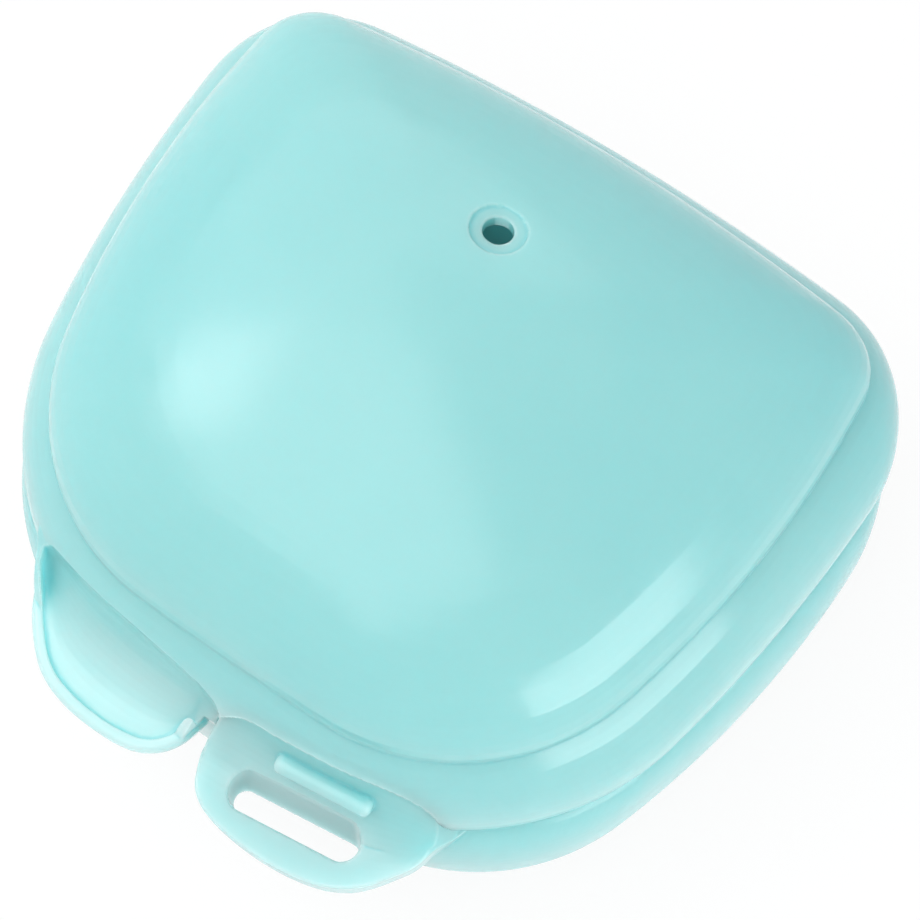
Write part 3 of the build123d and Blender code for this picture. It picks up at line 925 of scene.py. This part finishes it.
    peel = noise(given["Peel Size"], 1.0)
    grain = maths("MULTIPLY", noise(given["Grain Size"], 2.0), given["Grain Share"])
    relief = maths("SUBTRACT", maths("ADD", peel, grain), maths("MULTIPLY", hairs, 0.05))
    tree.links.new(relief, result["Height"])
    return tree


def plasticMaterial(name, values, body):
    material = bpy.data.materials.new(name)
    material.use_nodes = True
    tree = material.node_tree
    shader = tree.nodes["Principled BSDF"]
    group = tree.nodes.new("ShaderNodeGroup")
    group.node_tree = moulded
    for key, value in values.items():
        group.inputs[key].default_value = value
    bump = addNode(tree, "ShaderNodeBump", {"Height": group.outputs["Height"], "Strength": body["relief"],
                                            "Distance": body["reliefDepth"] * mm})
    tree.links.new(group.outputs["Colour"], shader.inputs["Base Color"])
    tree.links.new(group.outputs["Roughness"], shader.inputs["Roughness"])
    tree.links.new(bump.outputs[0], shader.inputs["Normal"])
    shader.inputs["IOR"].default_value = body["ior"]
    shader.inputs["Subsurface Weight"].default_value = body["translucency"]
    shader.inputs["Subsurface Radius"].default_value = body["reach"]
    shader.inputs["Subsurface Scale"].default_value = body["reachScale"] * mm
    return material


moulded = mouldedGroup()
# sizes in metres
lidFinish = {
    "Tint": (0.30, 0.645, 0.645, 1), "Deep Tint And Shade": (0.19, 0.57, 0.61, 1), "Cloud Size": 0.035,
    "Cloud Amount": 0.18, "Grip Light Tint": (0.47, 0.70, 0.70, 1), "Grip Light Amount": 0.9, "Rear Shade": 0.45,
    "Crease Shade": 0.4, "Edge Highlight": 0.07, "Gloss": 0.13, "Smudge Size": 0.016, "Smudge Amount": 0.09,
    "Scuff Size": 0.00022, "Scuff Amount": 0.03, "Foot Wear": 0.0, "Foot Height": 0.003,
    "Peel Size": 0.0050, "Grain Size": 0.0007, "Grain Share": 0.10,
}
baseFinish = {
    "Tint": (0.30, 0.645, 0.645, 1), "Deep Tint And Shade": (0.19, 0.57, 0.61, 1), "Cloud Size": 0.040,
    "Cloud Amount": 0.20, "Grip Light Tint": (0.42, 0.62, 0.62, 1), "Grip Light Amount": 0.7, "Rear Shade": 0.3,
    "Crease Shade": 0.35, "Edge Highlight": 0.07, "Gloss": 0.16, "Smudge Size": 0.020, "Smudge Amount": 0.10,
    "Scuff Size": 0.00025, "Scuff Amount": 0.03, "Foot Wear": 0.5, "Foot Height": 0.0015,
    "Peel Size": 0.0055, "Grain Size": 0.0008, "Grain Share": 0.12,
}
pinFinish = {
    "Tint": (0.31, 0.65, 0.65, 1), "Deep Tint And Shade": (0.19, 0.57, 0.61, 1), "Cloud Size": 0.010,
    "Cloud Amount": 0.20, "Grip Light Tint": (0.42, 0.62, 0.62, 1), "Grip Light Amount": 0.0, "Rear Shade": 0.0,
    "Crease Shade": 0.4, "Edge Highlight": 0.3, "Gloss": 0.28, "Smudge Size": 0.004, "Smudge Amount": 0.10,
    "Scuff Size": 0.00015, "Scuff Amount": 0.30, "Foot Wear": 0.0, "Foot Height": 0.001,
    "Peel Size": 0.0020, "Grain Size": 0.0004, "Grain Share": 0.20,
}
softBody = {
    "ior": 1.49, "translucency": 0.85, "reach": (0.75, 1.2, 1.2), "reachScale": 6.0,
    "relief": 0.2, "reliefDepth": 0.10,
}
pinBody = {**softBody, "translucency": 0.3, "reachScale": 1.0}
lid.data.materials.append(plasticMaterial("lidPlastic", lidFinish, softBody))
base.data.materials.append(plasticMaterial("basePlastic", baseFinish, softBody))
pin.data.materials.append(plasticMaterial("pinPlastic", pinFinish, pinBody))
